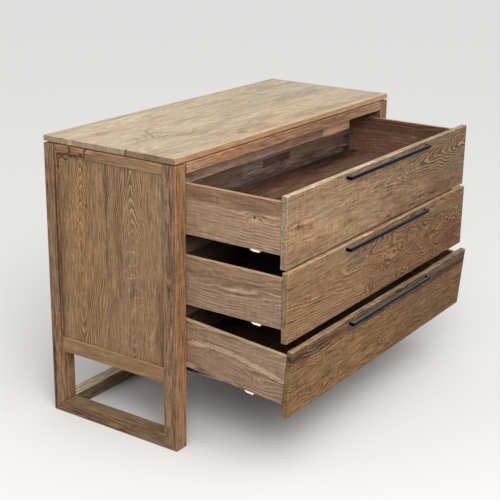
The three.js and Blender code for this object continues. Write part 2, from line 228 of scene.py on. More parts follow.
class Bench:
    """Lays out shader nodes. A value is a socket, a number or a tuple. A colour may have three numbers."""

    def __init__(self, tree):
        self.tree = tree

    def put(self, kind, values=None, **settings):
        node = self.tree.nodes.new(kind)
        for name, value in settings.items():
            setattr(node, name, value)
        for key, value in (values or {}).items():
            self.feed(node.inputs[key], value)
        return node

    def feed(self, socket, value):
        if isinstance(value, bpy.types.NodeSocket):
            self.tree.links.new(value, socket)
        else:
            short = socket.type == "RGBA" and len(value) == 3
            socket.default_value = (*value, 1.0) if short else value

    def math(self, operation, *values, clamp=False):
        given = dict(enumerate(values))
        return self.put("ShaderNodeMath", given, operation=operation, use_clamp=clamp).outputs[0]

    def add(self, first, second, clamp=False):
        return self.math("ADD", first, second, clamp=clamp)

    def less(self, first, second, clamp=False):
        return self.math("SUBTRACT", first, second, clamp=clamp)

    def times(self, first, second, clamp=False):
        return self.math("MULTIPLY", first, second, clamp=clamp)

    def scaled(self, value, factor, extra):
        return self.math("MULTIPLY_ADD", value, factor, extra)

    def centred(self, share, width):
        """Spreads a share from 0 to 1 over this width, with nought in its middle."""
        return self.scaled(share, width, -width / 2)

    def varied(self, share, width, middle=1.0):
        """Spreads a share from 0 to 1 over this width, which may be a socket, about the middle."""
        return self.scaled(self.less(share, 0.5), width, middle)

    def vector(self, operation, *values):
        return self.put("ShaderNodeVectorMath", dict(enumerate(values)), operation=operation).outputs[0]

    def span(self, vector):
        return self.put("ShaderNodeVectorMath", {0: vector}, operation="LENGTH").outputs["Value"]

    def split(self, vector):
        return self.put("ShaderNodeSeparateXYZ", {0: vector}).outputs

    def join(self, x, y, z):
        return self.put("ShaderNodeCombineXYZ", {0: x, 1: y, 2: z}).outputs[0]

    def attribute(self, name, output="Vector"):
        return self.put("ShaderNodeAttribute", attribute_name=name).outputs[output]

    def noise(self, vector, scale=1.0, detail=2.0, roughness=0.5):
        given = {"Vector": vector, "Scale": scale, "Detail": detail, "Roughness": roughness}
        return self.put("ShaderNodeTexNoise", given).outputs["Fac"]

    def streaks(self, grain, along, across, detail=2.0, roughness=0.5):
        """Noise drawn out along the grain, with this many features to the metre each way."""
        return self.noise(self.vector("MULTIPLY", grain, (along, across, across)), 1.0, detail, roughness)

    def chance(self, vector):
        """Three numbers from 0 to 1 that stay the same for the same vector."""
        drawn = self.put("ShaderNodeTexWhiteNoise", {"Vector": vector}, noise_dimensions="3D")
        return self.put("ShaderNodeSeparateColor", {0: drawn.outputs["Color"]}).outputs

    def ease(self, value, low, high, start=0.0, end=1.0):
        given = {"Value": value, "From Min": low, "From Max": high, "To Min": start, "To Max": end}
        return self.put("ShaderNodeMapRange", given, interpolation_type="SMOOTHSTEP").outputs[0]

    def mix(self, share, first, second, blend="MIX"):
        given = {0: share, 6: first, 7: second}
        return self.put("ShaderNodeMix", given, data_type="RGBA", blend_type=blend).outputs[2]

    def dyed(self, colour, tint):
        return self.mix(1.0, colour, tint, "MULTIPLY")

    def tinted(self, share, colour, tint):
        return self.mix(share, colour, self.dyed(colour, tint))

    def ramp(self, value, stops):
        node = self.put("ShaderNodeValToRGB", {0: value})
        elements = node.color_ramp.elements
        while len(elements) < len(stops):
            elements.new(0.5)
        for element, (place, level) in zip(elements, stops):
            element.position = place
            element.color = (level, level, level, 1.0)
        return node.outputs[0]


# The wood's inputs: a number's default, or the kind of a socket that is always fed
GROUP_INPUTS = {
    "Grain": "Vector", "Facing": "Vector", "Seed": 0.0, "Worn": 0.0, "Strip": 0.1, "Strip start": 0.0,
    "Block": 0.6, "Finger": 0.0, "Glue": 0.3, "Ring": 0.005, "Taper": 0.05, "Slope": 0.0, "Pith": 0.08,
    "Spread": 0.06, "Swirl": 0.004, "Swirl size": 0.12, "Bend": 0.0, "Core": 0.0, "Lines": 0.5,
    "Edge lines": 1.0, "Patchy": 0.8, "Streaks": 0.6, "Fleck": 0.1, "Tint": 0.2, "Weather": 0.2,
    "Light": "Color", "Dark": "Color", "Grey": "Color", "Knot": "Color", "Edge": "Color", "End": "Color",
}
# Textures: features to the metre along and across the grain, detail and roughness
TEXTURES = {
    "drift": (2.2, 0.0, 1.0, 0.5),
    "wobble": (7.0, 42.0, 2.0, 0.5),
    "stretch": (9.0, 4.0, 2.0, 0.5),
    "jitter": (45.0, 90.0, 2.0, 0.5),
    "fading": (3.5, 14.0, 2.0, 0.5),
    "fibres": (5.0, 150.0, 3.0, 0.65),
    "threads": (13.0, 300.0, 2.0, 0.7),
    "broad": (1.8, 24.0, 3.0, 0.6),
    "pores": (34.0, 620.0, 1.0, 0.5),
    "fleck": (150.0, 20.0, 3.0, 0.6),
    "grey": (3.6, 20.0, 3.0, 0.6),
}
# How widely textures move the rings, in metres, and change the tone between dark and light grain
RING_SWINGS = {"drift": 0.05, "wobble": 0.0036, "jitter": 0.0022}
TONE_SWINGS = {"fibres": 1.5, "threads": 3.8, "broad": 0.9, "pores": 1.2}
# Lightness across one ring, and the lightness that leaves the tone as it is
RING_PROFILE = ((0.0, 0.28), (0.3, 0.34), (0.43, 1.0), (0.54, 0.92), (0.68, 0.3), (0.84, 0.06), (1.0, 0.28))
RING_MIDDLE = 0.43
SWIRL_SHAPE = (1.0, 2.2, 2.2)
FINGER_PITCH, GLUE_LINE = 0.004, 0.0007
# Share of its normal from which a face starts to count as an edge or an end, and at which it is one
SIDE_ON = (0.6, 0.85)
DEEP_TINT, RUBBED_TINT = (0.55, 0.44, 0.36), (1.35, 1.32, 1.28)
# Numbers that keep the chances of strips, blocks and rings apart
STRIP_SALT, BLOCK_SALT, RING_SALT = 3.7, 11.3, 1.9
# Farthest that chance moves a strip's joints, in blocks, and a block's figure along and across, in metres
JOINT_SHIFT, FIGURE_SHIFT = 5.0, (9.0, 7.0)
# Depth of the pith and boldness of a ring: their spread and their least, as shares
PITH_DEPTH, BOLDNESS = (0.8, 0.6), (0.7, 0.35)
# Value of a texture at which fading, greying and open pores start to show, and show in full
FADES, GREYS, OPENS = (0.6, 0.4), (0.5, 0.66), (0.36, 0.27)
STRETCH, HUE_SPREAD, PORE_DARKNESS = 0.12, 0.016, 0.42
# Speckle of end grain and rubbing of edges: features to the metre, where they start and end, how strong
SPECKLE, RUBBING = (330.0, 0.38, 0.56, 0.62, 1.08), (60.0, 0.3, 0.7, 0.3, 0.7)
# Shares of pores, fibres, rings and seams in the relief, and of fibres and end grain in the roughness
PORE_RELIEF, FIBRE_RELIEF, RING_RELIEF, SEAM_RELIEF = 0.5, 0.6, 0.5, 0.5
ROUGHNESS, FIBRE_GLOSS, END_ROUGHNESS = 0.66, 0.24, 0.12


def teak_group():
    """Boards sawn from a log: growth rings about a pith, strips glued side by side, blocks finger-jointed
    end to end, pores, streaks, weathering and worn edges. Grain runs along the first axis."""
    tree = bpy.data.node_groups.new("Sawn teak", "ShaderNodeTree")
    for name, default in GROUP_INPUTS.items():
        kind = default if isinstance(default, str) else "Float"
        socket = tree.interface.new_socket(name, in_out="INPUT", socket_type=f"NodeSocket{kind}")
        if kind == "Float":
            socket.default_value = default
    for name, kind in (("Color", "Color"), ("Relief", "Float"), ("Roughness", "Float")):
        tree.interface.new_socket(name, in_out="OUTPUT", socket_type=f"NodeSocket{kind}")
    b = Bench(tree)
    given = tree.nodes.new("NodeGroupInput").outputs
    seed = given["Seed"]
    u, v, w = b.split(given["Grain"])

    strips = b.math("DIVIDE", b.add(v, given["Strip start"]), given["Strip"])
    strip = b.math("FLOOR", strips)
    strip_chance = b.chance(b.join(strip, seed, STRIP_SALT))
    fingers = b.times(b.math("PINGPONG", v, FINGER_PITCH), 1 / FINGER_PITCH)
    blocks = b.add(u, b.times(fingers, given["Finger"]))
    blocks = b.add(b.math("DIVIDE", blocks, given["Block"]), b.times(strip_chance[0], JOINT_SHIFT))
    chance = b.chance(b.join(strip, b.math("FLOOR", blocks), b.add(seed, BLOCK_SALT)))
    shift = [b.times(draw, most) for draw, most in zip(chance, FIGURE_SHIFT)]
    grain = b.vector("ADD", given["Grain"], b.join(*shift, seed))
    texture = {name: b.streaks(grain, *numbers) for name, numbers in TEXTURES.items()}
    swing = {name: b.centred(texture[name], width) for name, width in RING_SWINGS.items()}

    across = b.times(b.less(b.math("FRACT", strips), 0.5), given["Strip"])
    across = b.add(across, b.times(b.less(chance[0], 0.5), given["Spread"]))
    across = b.less(b.add(across, swing["drift"]), b.times(u, given["Slope"]))
    depth = b.scaled(b.scaled(chance[1], *PITH_DEPTH), given["Pith"], w)
    radius = b.add(b.span(b.join(across, depth, 0.0)), swing["wobble"])
    curl = b.vector("DIVIDE", b.vector("MULTIPLY", grain, SWIRL_SHAPE), b.join(*[given["Swirl size"]] * 3))
    curl = b.times(b.centred(b.noise(curl, 1.0, 1.5), 2.0), given["Swirl"])
    radius = b.add(b.add(radius, curl), given["Bend"])
    stretch = b.scaled(texture["stretch"], STRETCH, u)
    radius = b.less(b.add(radius, swing["jitter"]), b.times(stretch, given["Taper"]))
    rings = b.math("DIVIDE", radius, given["Ring"])
    line = b.ramp(b.math("FRACT", rings), RING_PROFILE)
    boldness = b.chance(b.join(b.math("FLOOR", rings), seed, RING_SALT))[0]
    faded = b.ease(texture["fading"], *FADES, 0.0, given["Patchy"])
    boldness = b.times(b.scaled(boldness, *BOLDNESS), b.less(1.0, faded))
    boldness = b.times(boldness, given["Lines"])
    facing = b.split(b.vector("ABSOLUTE", given["Facing"]))
    end, edge = (b.ease(turn, *SIDE_ON) for turn in facing[:2])
    hidden = b.times(b.less(1.0, given["Edge lines"]), b.add(edge, end, clamp=True))
    boldness = b.times(boldness, b.less(1.0, hidden))
    lines = b.times(b.less(RING_MIDDLE, line), boldness)

    tone = reduce(b.add, (b.centred(texture[name], width) for name, width in TONE_SWINGS.items()))
    tone = b.less(b.scaled(tone, given["Streaks"], 0.5), lines, clamp=True)
    deep = b.dyed(given["Dark"], DEEP_TINT)
    colour = b.mix(b.times(lines, 0.5, clamp=True), b.mix(tone, given["Dark"], given["Light"]), deep)
    toned = {
        "Hue": b.varied(chance[1], HUE_SPREAD, 0.5),
        "Saturation": b.varied(chance[0], given["Tint"]),
        "Value": b.times(b.varied(chance[2], given["Tint"]), b.varied(texture["fleck"], given["Fleck"])),
        "Color": colour,
    }
    colour = b.put("ShaderNodeHueSaturation", toned).outputs[0]
    colour = b.mix(b.times(b.ease(texture["grey"], *GREYS), given["Weather"]), colour, given["Grey"])
    colour = b.mix(b.times(b.ease(texture["pores"], *OPENS), PORE_DARKNESS), colour, deep)
    colour = b.mix(given["Core"], colour, given["Knot"])

    near_strip = b.times(b.math("PINGPONG", strips, 0.5), given["Strip"])
    near_block = b.times(b.math("PINGPONG", blocks, 0.5), given["Block"])
    seam = b.ease(b.math("MINIMUM", near_strip, near_block), 0.0, GLUE_LINE, 1.0, 0.0)
    colour = b.mix(b.times(seam, given["Glue"]), colour, deep)
    # Edge tints the faces whose normal lies along the second grain axis. On the cross rails, the rear foot rail,
    # the drawer fronts and the drawer sides these are the upper and lower faces, and their tint over 1 is painted
    # light from above.
    colour = b.tinted(edge, colour, given["Edge"])
    speckle, rubbing = (b.ease(b.noise(grain, scale), *ends) for scale, *ends in (SPECKLE, RUBBING))
    colour = b.mix(end, colour, b.dyed(b.dyed(colour, given["End"]), b.join(speckle, speckle, speckle)))
    colour = b.tinted(b.times(given["Worn"], rubbing), colour, RUBBED_TINT)

    relief = b.scaled(texture["pores"], PORE_RELIEF, b.times(texture["fibres"], FIBRE_RELIEF))
    relief = b.less(relief, b.times(lines, RING_RELIEF))
    relief = b.less(relief, b.times(b.add(seam, given["Core"]), SEAM_RELIEF))
    roughness = b.add(b.scaled(texture["fibres"], -FIBRE_GLOSS, ROUGHNESS), b.times(end, END_ROUGHNESS))
    b.put("NodeGroupOutput", {"Color": colour, "Relief": relief, "Roughness": roughness})
    return tree


def off_centre(b, grain, along, across, wide, high, slope=0.0):
    """Place in an oval or rectangle, from -1 to 1 each way. The slope is that of its long axis."""
    x, y, _ = b.split(b.vector("SUBTRACT", grain, (along, across, 0.0)))
    return b.math("DIVIDE", x, wide), b.math("DIVIDE", b.less(y, b.times(x, slope)), high)


def reach(b, grain, *place):
    """Distance from the middle of an oval, where its rim is 1."""
    return b.span(b.join(*off_centre(b, grain, *place), 0.0))


def bent_rings(b, grain, swirls, knots):
    """How far swirls and knots bend the rings round them, and the knots' dark hearts."""
    bend, core = 0.0, 0.0
    around = [(along, across, radius * 4.0, radius * 2.0, radius * 2.2) for along, across, radius in knots]
    for *place, lift in (*swirls, *around):
        fall = b.times(b.math("POWER", reach(b, grain, *place), 2.0), -1.0)
        bend = b.add(bend, b.times(b.math("EXPONENT", fall), lift))
    for along, across, radius in knots:
        rim = reach(b, grain, along, across, radius * 1.4, radius * 0.9)
        ragged = b.add(rim, b.noise(grain, 0.9 / radius, 2.0))
        core = b.math("MAXIMUM", core, b.ease(ragged, 1.35, 0.85))
    return bend, core


def oval(b, colour, grain, along, across, wide, high, tint):
    """A patch of another tone with a ragged edge, drawn out along the grain. It draws stains, and also painted
    shade.
    """
    ragged = b.centred(b.streaks(grain, 9.0, 70.0, 3.0, 0.65), 2.6)
    rim = b.add(reach(b, grain, along, across, wide, high), ragged)
    return b.tinted(b.ease(rim, 1.15, 0.35), colour, tint)


def slip(b, colour, grain, along, across, wide, high, tint, slope=0.0):
    """A straight strip or block of another board, whose long edges wander and fade a little. It also draws a strip
    of painted light.
    """
    wander, fade = 0.0036, 0.0012
    x, y = off_centre(b, grain, along, across, wide, high, slope)
    wave = b.centred(b.streaks(grain, 14.0, 14.0), wander / high)
    rim = b.math("MAXIMUM", b.add(b.math("ABSOLUTE", y), wave), b.math("ABSOLUTE", x))
    return b.tinted(b.ease(rim, 1.0, 1.0 - fade / high), colour, tint)


def stroke(b, colour, grain, lines, half_width, tint, strength=1.0):
    """Cracks or streaks along bent lines."""
    shaken = b.centred(b.noise(grain, 110.0, 3.0, 0.6), 0.012)
    flat = b.vector("MULTIPLY_ADD", grain, (1.0, 1.0, 0.0), b.join(shaken, shaken, 0.0))
    nearest = 1.0
    for start, end in (ends for line in lines for ends in zip(line, line[1:])):
        way = Vector((*end, 0.0)) - Vector((*start, 0.0))
        offset = b.vector("SUBTRACT", flat, (*start, 0.0))
        dot = b.put("ShaderNodeVectorMath", {0: offset, 1: way / way.length_squared}, operation="DOT_PRODUCT")
        share = b.math("MINIMUM", b.math("MAXIMUM", dot.outputs["Value"], 0.0), 1.0)
        foot = b.put("ShaderNodeVectorMath", {0: way, "Scale": share}, operation="SCALE").outputs[0]
        nearest = b.math("MINIMUM", nearest, b.span(b.vector("SUBTRACT", offset, foot)))
    width = b.scaled(b.noise(grain, 70.0, 3.0, 0.6), 2.6 * half_width, -0.4 * half_width)
    share = b.ease(b.less(nearest, width), 0.3 * half_width, -0.4 * half_width, 0.0, strength)
    return b.tinted(share, colour, tint)


def new_material(name, colour):
    """An empty material of this colour in the solid view, and the bench for its nodes."""
    material = bpy.data.materials.new(name)
    material.use_nodes = True
    material.diffuse_color = (*colour, 1.0)
    material.node_tree.nodes.clear()
    return material, Bench(material.node_tree)


def add_shader(b, looks, height, strength, depth):
    """Joins a shader with these looks and this relief to the material's output."""
    bump = b.put("ShaderNodeBump", {"Height": height, "Strength": strength, "Distance": depth})
    shader = b.put("ShaderNodeBsdfPrincipled", {**looks, "Normal": bump.outputs[0]})
    b.put("ShaderNodeOutputMaterial", {"Surface": shader.outputs[0]})


def shaded(colour, shade):
    return tuple(c * share for c, share in zip(colour, shade))


# Depth of the relief of wood and of a coat, in metres, and the cloudiness of a coat to the metre
GRAIN_DEPTH, COAT_DEPTH, CLOUDS = 0.00035, 0.00004, 45.0


def teak(
    name, wood, shade=(1.0, 1.0, 1.0), swirls=(), knots=(), quiet=(), ovals=(), slips=(), strokes=(),
    calm=None, inner=None, sheen=0.2, **recipe,
):
    """A material of sawn teak. The recipe sets the group's inputs, with _ for a space. The shade multiplies
    the wood's tones. Quiet gives ovals with fainter lines. Calm gives the two places along the grain between
    which the figure grows to its full, and the shares of its lines, swirls and taper at the first. Inner
    gives the way that the inner face looks, 1 or -1, and its tint, which is painted shade on that face."""
    colours = bpy.context.scene.chest_colours
    light, dark = (shaded(getattr(colours, f"{wood}_{tone}"), shade) for tone in TONES)
    material, b = new_material(name, light)
    grain = b.attribute("grain")
    bend, core = bent_rings(b, grain, swirls, knots)
    given = {
        "Grain": grain,
        "Facing": b.attribute("facing"),
        "Seed": b.attribute("piece_seed", "Fac"),
        "Worn": b.attribute("worn", "Fac"),
        "Bend": bend,
        "Core": core,
        "Light": light,
        "Dark": dark,
        "Grey": colours.grey,
        "Knot": colours.knot,
        "Edge": (1.0, 1.0, 1.0),
        "End": (0.82, 0.78, 0.72),
        **{key.replace("_", " ").capitalize(): value for key, value in recipe.items()},
    }
    if calm:
        start, end, *shares = calm
        along = b.split(grain)[0]
        for key, share in zip(("Lines", "Swirl", "Taper"), shares):
            given[key] = b.ease(along, start, end, given[key] * share, given[key])
    for place in quiet:
        given["Lines"] = b.times(given["Lines"], b.ease(reach(b, grain, *place), 0.5, 1.2, 0.3, 1.0))
    group = b.put("ShaderNodeGroup", node_tree=bpy.data.node_groups.get("Sawn teak") or teak_group())
    for key, value in given.items():
        b.feed(group.inputs[key], value)
    colour = group.outputs["Color"]
    for draw, marks in ((slip, slips), (oval, ovals), (stroke, strokes)):
        for mark in marks:
            colour = draw(b, colour, grain, *mark)
    # Painted shade: the inner face is tinted darker
    if inner:
        way, tint = inner
        inward = b.times(b.split(given["Facing"])[2], way)
        colour = b.tinted(b.ease(inward, 0.4, 0.6), colour, tint)
    looks = {"Base Color": colour, "Roughness": group.outputs["Roughness"], "Specular IOR Level": sheen}
    add_shader(b, looks, group.outputs["Relief"], 0.6, GRAIN_DEPTH)
    return material


def plain(name, finish, roughness, grain_size, mottle, metallic=0.0, gloss=0.5, stretch=(1, 1, 1), highlight=None):
    """A coat, plating or moulding: a fine mottle in its colour, gloss and surface. Highlight names the colour
    of a painted highlight on the upper face, where the third axis looks up."""
    colours = bpy.context.scene.chest_colours
    colour = getattr(colours, finish)
    material, b = new_material(name, colour)
    place = b.vector("MULTIPLY", b.attribute("grain"), stretch)
    fine = b.noise(place, 1 / grain_size)
    cloud = b.noise(place, CLOUDS, 3.0)
    tone = b.scaled(b.add(fine, cloud), mottle, 1.0 - mottle)
    value = b.put("ShaderNodeHueSaturation", {"Value": tone, "Color": colour}).outputs[0]
    # Painted highlight: the upper faces are mixed towards the highlight colour
    if highlight:
        upward = b.split(b.attribute("facing"))[2]
        highlit = b.ease(upward, 0.8, 0.99, 0.0, b.scaled(cloud, 0.5, 0.6))
        value = b.mix(highlit, value, getattr(colours, highlight))
    worn = b.times(b.attribute("worn", "Fac"), 0.25)
    value = b.mix(worn, value, [min(1.0, c * 1.8 + 0.01) for c in colour])
    looks = {
        "Base Color": value, "Roughness": b.scaled(cloud, 0.2, roughness - 0.1), "Metallic": metallic,
        "Specular IOR Level": gloss,
    }
    add_shader(b, looks, fine, 0.5, COAT_DEPTH)
    return material


# Meshes

# Distances within which two points are one and a point is on a face, in metres
SAME_POINT, ON_FACE = 1e-6, 1e-5
# Turns under which two faces are one, and over which an edge is sharp, in radians
FLAT_TURN, SHARP_TURN = 0.02, 0.6
# Wear along the grain as a share of that across it, and the bumps of wear: how many to the metre, how high
LONG_GRAIN_WEAR = 0.1
WEAR_NOISE = ((16.0, 1.0), (70.0, 0.5))


def level(body):
    """From the frame to the body's own upright axes. Only the bottom drawer leans."""
    if body != LEAN["child"]:
        return Matrix.Identity(4)
    pivot = Matrix.Translation(LEAN["pos_m"])
    angle = math.radians(LEAN["range_deg"][0])
    return pivot @ Matrix.Rotation(angle, 4, Vector(LEAN["axis"])) @ pivot.inverted()


def levelled_box(node):
    turn = level(NODE_BODY[node])
    points = [turn @ v.co for v in frame["nodes"][node].data.vertices]
    return tuple(Vector(pick(p[i] for p in points) for i in range(3)) for pick in (min, max))


def on_box(point, low, high):
    """On how many of the box's three pairs of faces a point lies."""
    return sum(min(abs(point[i] - low[i]), abs(point[i] - high[i])) < ON_FACE for i in range(3))


def outer_edges(bm, low, high, everywhere):
    """The convex arrises that a plane or sander reaches."""
    found = []
    for edge in bm.edges:
        if not edge.is_manifold or edge.calc_face_angle_signed(0.0) < SHARP_TURN:
            continue
        if everywhere or all(on_box(v.co, low, high) > 1 for v in edge.verts):
            found.append(edge)
    return found


def cut_up(edge, step):
    """Cuts an edge into pieces of about a step, and gives them all."""
    count = max(1, round(edge.calc_length() / step))
    pieces, start, far = [edge], edge.verts[0], edge.verts[1]
    rest = edge
    for left in range(count, 1, -1):
        new_edge, new_vert = bmesh.utils.edge_split(rest, start, 1 / left)
        pieces.append(new_edge)
        rest = new_edge if far in new_edge.verts else rest
        start = new_vert
    return pieces


def ease_edges(bm, edges, width, segments, clamp=False):
    return bmesh.ops.bevel(
        bm, geom=edges, offset=width, offset_type="OFFSET", segments=segments, profile=0.5,
        affect="EDGES", clamp_overlap=clamp,
    )


def worn_mesh(node, along, arris, wear=0.0, everywhere=False, step=None, segments=2):
    """The node's solid with its arrises eased, and nicked here and there, in the body's upright axes. Arrises
    along the grain wear least. Gives the mesh in work and the vertices that lie on the worn ridge."""
    bm = bmesh.new()
    bm.from_mesh(frame["nodes"][node].data)
    bmesh.ops.remove_doubles(bm, verts=bm.verts, dist=SAME_POINT)
    bmesh.ops.dissolve_limit(bm, angle_limit=FLAT_TURN, verts=bm.verts, edges=bm.edges)
    bm.transform(level(NODE_BODY[node]))
    edges = outer_edges(bm, *levelled_box(node), everywhere)
    if wear:
        edges = [piece for edge in edges for piece in cut_up(edge, step)]
    eased = ease_edges(bm, edges, arris, segments)
    rounded = set(eased["faces"])
    for face in bm.faces:
        face.smooth = face in rounded
    ridge = {v for v in eased["verts"] if v.is_valid and all(f in rounded for f in v.link_faces)}
    bm.normal_update()
    for vert in (v for v in bm.verts if wear and v in ridge):
        way = max((e.verts[1].co - e.verts[0].co for e in vert.link_edges if ridge.issuperset(e.verts)),
                  key=lambda v: v.length, default=Vector())
        share = LONG_GRAIN_WEAR if abs(way[along]) > 0.9 * way.length else 1.0
        rough = sum(height * noise.noise(vert.co * pitch) for pitch, height in WEAR_NOISE)
        vert.co -= vert.normal * wear * share * min(1.0, max(0.0, rough))
    return bm, ridge


def add_object(name, data):
    thing = bpy.data.objects.new(name, data)
    bpy.context.scene.collection.objects.link(thing)
    return thing


def finished(bm, ridge, name, node, grain_axis, face_axis, seed):
    """Makes the object: its mesh carries the grain's own axes, from which its material is drawn."""
    low, high = levelled_box(node)
    along, through = AXES.index(grain_axis), AXES.index(face_axis)
    order = (along, 3 - along - through, through)
    start = Vector(low)
    start[along] = (low[along] + high[along]) / 2
    bm.verts.ensure_lookup_table()
    bm.faces.ensure_lookup_table()
    bm.normal_update()
    grain = [c for v in bm.verts for c in ((v.co - start)[i] for i in order)]
    facing = [c for f in bm.faces for c in (f.normal[i] for i in order)]
    worn = [1.0 if v in ridge else 0.0 for v in bm.verts]
    bm.transform(level(NODE_BODY[node]).inverted())
    mesh = bpy.data.meshes.new(name)
    bm.to_mesh(mesh)
    bm.free()
    for title, kind, domain, field, values in (
        ("grain", "FLOAT_VECTOR", "POINT", "vector", grain),
        ("facing", "FLOAT_VECTOR", "FACE", "vector", facing),
        ("worn", "FLOAT", "POINT", "value", worn),
        ("piece_seed", "FLOAT", "POINT", "value", [seed] * len(worn)),
    ):
        mesh.attributes.new(title, kind, domain).data.foreach_set(field, values)
    return add_object(name, mesh)


def name_seed(node):
    """A number for the figure of a piece's wood, which differs from node to node."""
    return sum(ord(c) for c in node) % 97 + 0.5


def dress(node, suffix, material, grain_axis, face_axis, seed=None, **easing):
    """Replaces a node with its worked piece, riding on the node's body."""
    bm, ridge = worn_mesh(node, AXES.index(grain_axis), **easing)
    piece = finished(bm, ridge, f"{node}_{suffix}", node, grain_axis, face_axis, seed or name_seed(node))
    piece.data.materials.append(material)
    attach(piece, NODE_BODY[node])
    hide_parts(node)


def wood_easing(sizes, arris):
    return {"arris": arris, "wear": sizes.wear, "step": sizes.wear_step}


def by_side(pattern):
    return [pattern.format(side=side) for side in SIDES]


class ChestOperator(bpy.types.Operator):
    """Shared by all the chest's operators."""

    bl_options = {"REGISTER", "UNDO"}

    def execute(self, context):
        self.make(context.scene.chest_sizes)
        return {"FINISHED"}


class CHEST_OT_top(ChestOperator):
    """Pale top of glued boards, with knots and an end-grain edge"""

    bl_idname = "chest.top"
    bl_label = "Top"

    def make(self, sizes):
        crack = (0.42, 0.34, 0.27)
        material = teak(
            "Top teak", "top", strip=0.088, strip_start=-0.018, block=3.0, glue=0.12, ring=0.007,
            taper=0.06, pith=0.06, spread=0.05, swirl=0.008, swirl_size=0.14, lines=0.55, streaks=0.55,
            fleck=0.25, tint=0.14, weather=0.45, edge=(0.88, 0.65, 0.51), end=(0.55, 0.51, 0.5), sheen=0.35,
            swirls=((-0.37, 0.21, 0.09, 0.05, 0.03), (-0.238, 0.372, 0.06, 0.03, 0.03)),
            knots=((-0.271, 0.176, 0.005), (-0.081, 0.321, 0.005), (0.33, 0.12, 0.004)),
            ovals=(
                (-0.38, 0.21, 0.08, 0.05, (0.94, 0.93, 0.88)),
                (-0.34, 0.165, 0.05, 0.02, (0.86, 0.85, 0.78)),
                (-0.27, 0.24, 0.11, 0.05, (1.06, 1.07, 0.98)),
                (-0.495, 0.355, 0.045, 0.014, (0.84, 0.74, 0.66)),
                (-0.218, 0.045, 0.022, 0.012, (0.7, 0.6, 0.58)),
                (-0.05, 0.06, 0.35, 0.06, (1.0, 0.9, 0.82)), (0.1, 0.27, 0.24, 0.08, (0.91, 0.9, 0.86)),
                (0.45, 0.17, 0.2, 0.14, (1.0, 0.96, 1.02)), (-0.03, 0.364, 0.1, 0.004, (1.14, 1.14, 1.1)),
                (-0.16, 0.2, 0.03, 0.01, (1.12, 1.12, 1.1)),
            ),
            slips=(
                (-0.601, 0.085, 0.002, 0.087, (0.78, 0.68, 0.6)),
                (-0.601, 0.378, 0.002, 0.008, (1.5, 1.55, 1.5)),
            ),
            strokes=(
                (STAR[:1], 0.0034, crack, 0.66), (STAR[1:3], 0.003, crack, 0.52),
                (STAR[3:], 0.0028, crack, 0.38),
                ((((-0.602, 0.172), (-0.594, 0.172)),), 0.003, (0.25, 0.17, 0.14)),
            ),
        )
        dress("top_panel", "boards", material, "x", "z", **wood_easing(sizes, sizes.arris))


ONE_BOARD = {"strip": 0.2, "strip_start": 0.06, "block": 3.0, "glue": 0.0, "ring": 0.006}


class CHEST_OT_posts(ChestOperator):
    """Square corner posts, mitred at the floor"""

    bl_idname = "chest.posts"
    bl_label = "Posts"

    def make(self, sizes):
        recipe = {
            **ONE_BOARD, "strip_start": 0.07, "ring": 0.0038, "taper": 0.014, "pith": 0.03, "spread": 0.05,
            "swirl": 0.005, "swirl_size": 0.1, "lines": 0.58, "patchy": 0.4, "streaks": 0.58, "fleck": 0.8,
            "tint": 0.2, "weather": 0.3, "edge": (1.46, 1.34, 1.24), "end": (1.6, 1.55, 1.5),
        }
        front = teak("Front post teak", "post", slips=((0.0, 0.03, 0.6, 0.1, (0.88, 0.93, 1.01)),), **recipe)
        recipe.update(streaks=0.75, lines=0.9, edge=(1.04, 1.04, 0.98))
        rear = teak(
            "Rear post teak", "post", slips=((0.0, 0.03, 0.6, 0.1, (0.92, 0.97, 0.96)),),
            ovals=((0.1, 0.004, 0.4, 0.006, (0.5, 0.4, 0.34)), (-0.3, 0.04, 0.2, 0.007, (0.5, 0.4, 0.34))),
            strokes=((POST_CRACKS, 0.0026, (0.4, 0.34, 0.3)),), **recipe,
        )
        for end, material in (("front", front), ("rear", rear)):
            for side in SIDES:
                dress(f"post_{end}_{side}", "wood", material, "z", "x", **wood_easing(sizes, sizes.arris))


class CHEST_OT_side_rails(ChestOperator):
    """Rails over and under the side panels"""

    bl_idname = "chest.side_rails"
    bl_label = "Side rails"

    def make(self, sizes):
        recipe = {
            **ONE_BOARD, "taper": 0.015, "pith": 0.05, "spread": 0.05, "swirl": 0.003, "lines": 0.6,
            "streaks": 0.38, "weather": 0.2, "edge": (1.5, 1.5, 1.45),
        }
        whole = teak("Rail teak", "rail", **recipe)
        recipe.update(streaks=0.45, edge=(2.2, 2.2, 2.1))
        cracked = teak(
            "Cracked rail teak", "rail", slips=((0.0, 0.02, 0.5, 0.1, (1.14, 1.19, 1.27)),),
            ovals=((0.14, 0.014, 0.075, 0.02, (0.95, 0.8, 0.7)),),
            strokes=((RAIL_CRACKS, 0.0034, (0.27, 0.19, 0.16)),), **recipe,
        )
        easing = wood_easing(sizes, sizes.arris / 2)
        for side, material in zip(SIDES, (cracked, whole)):
            dress(f"side_top_rail_{side}", "wood", material, "y", "x", **easing)
            dress(f"side_mid_rail_{side}", "wood", whole, "y", "x", **easing)


class CHEST_OT_foot_rails(ChestOperator):
    """Rails that lie on the floor"""

    bl_idname = "chest.foot_rails"
    bl_label = "Foot rails"

    def make(self, sizes):
        recipe = {
            **ONE_BOARD, "ring": 0.0042, "taper": 0.03, "pith": 0.04, "spread": 0.06, "swirl": 0.006,
            "lines": 0.7, "streaks": 0.62, "fleck": 0.6, "weather": 0.3, "edge": (1.3, 1.35, 1.35),
        }
        easing = wood_easing(sizes, sizes.arris)
        material = teak("Foot teak", "foot", **recipe)
        for node in by_side("foot_rail_{side}"):
            dress(node, "wood", material, "y", "x", **easing)
        # Painted light: the strong edge tint lightens the rear foot rail's upper face, which lies in shade
        recipe.update(streaks=1.0, edge=(3.5, 4.1, 4.5), edge_lines=0.8)
        dress("rear_foot_rail", "wood", teak("Rear foot teak", "foot", **recipe), "x", "y", **easing)


